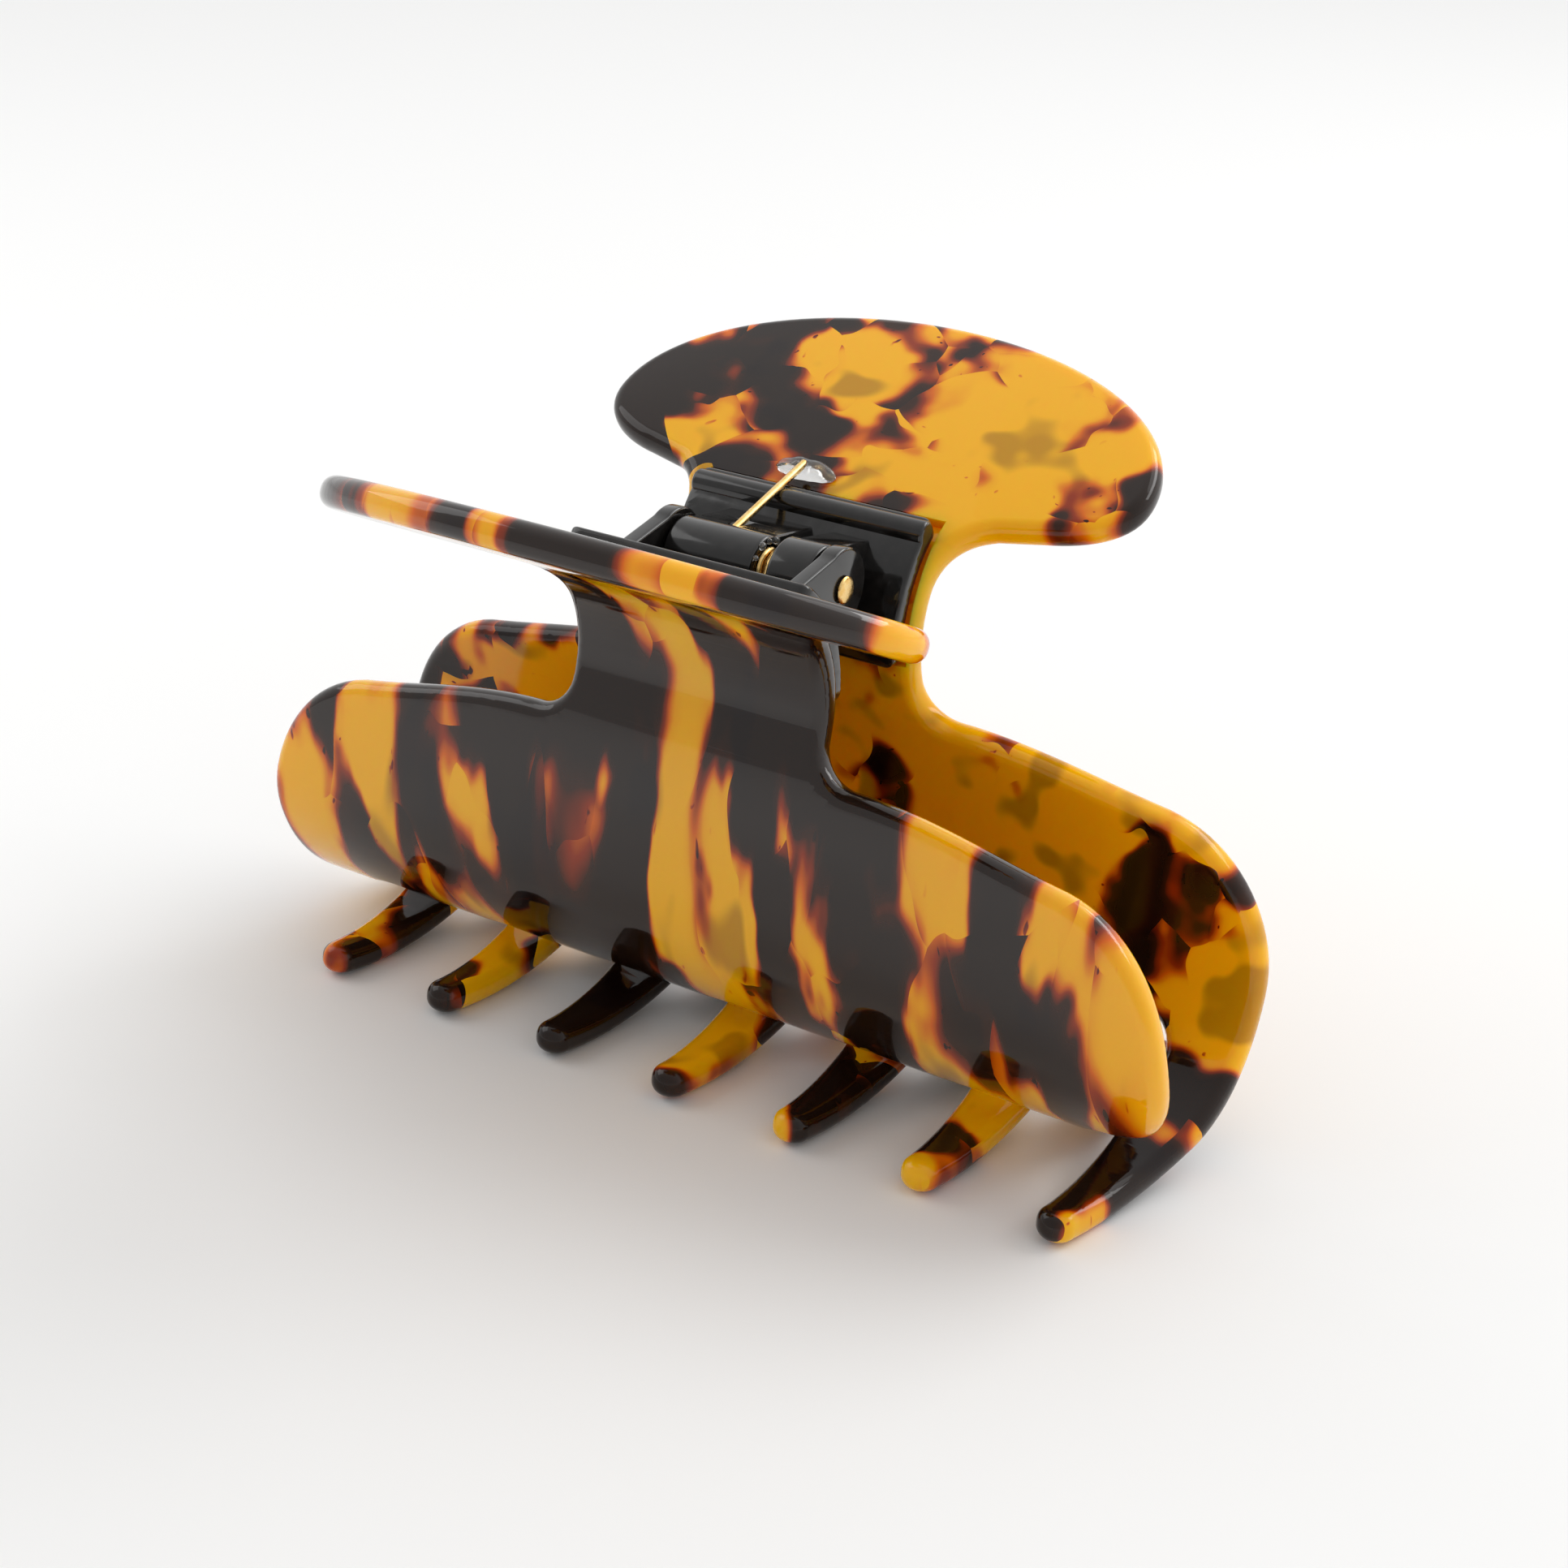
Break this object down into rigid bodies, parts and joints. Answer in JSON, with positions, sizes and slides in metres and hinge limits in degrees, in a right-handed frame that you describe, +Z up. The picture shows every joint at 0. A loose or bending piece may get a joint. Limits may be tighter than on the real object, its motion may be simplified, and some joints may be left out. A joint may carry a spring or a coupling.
{
  "type": "claw clip",
  "caption": "Sprung hair claw: two bent tortoiseshell acetate jaws with interlocking teeth on a black pinned hinge.",
  "frame": {"origin": "centre of the closed clip, on the surface that its tooth tips rest on, straight below the hinge axis", "axes": "+X along the jaws, +Y from the front jaw to the rear jaw, +Z up towards the finger paddles"},
  "size_m": [0.0954, 0.0712, 0.0602],
  "materials": {
    "acetate": "polished translucent tortoiseshell cellulose acetate, amber with dark brown flakes",
    "black_plastic": "moulded glossy black",
    "brass": "drawn wire, light satin",
    "clear_glue": "clear cured adhesive"
  },
  "bodies": {
    "rear_half": {"rear_jaw": "acetate", "rear_bracket": "black_plastic", "rear_cement": "clear_glue", "torsion_spring": "brass", "spring_glue": "clear_glue"},
    "front_half": {"front_jaw": "acetate", "front_bracket": "black_plastic", "front_cement": "clear_glue", "hinge_pin": "brass"}
  },
  "joints": [
    {"name": "jaw_hinge", "type": "hinge", "parent": "rear_half", "child": "front_half", "pos_m": [0, 0, 0.04585], "axis": [-1, 0, 0], "range_deg": [0, 50], "stiffness_Nm_per_rad": 0.35, "springref_deg": -29.79, "deforming": ["torsion_spring"]}
  ]
}
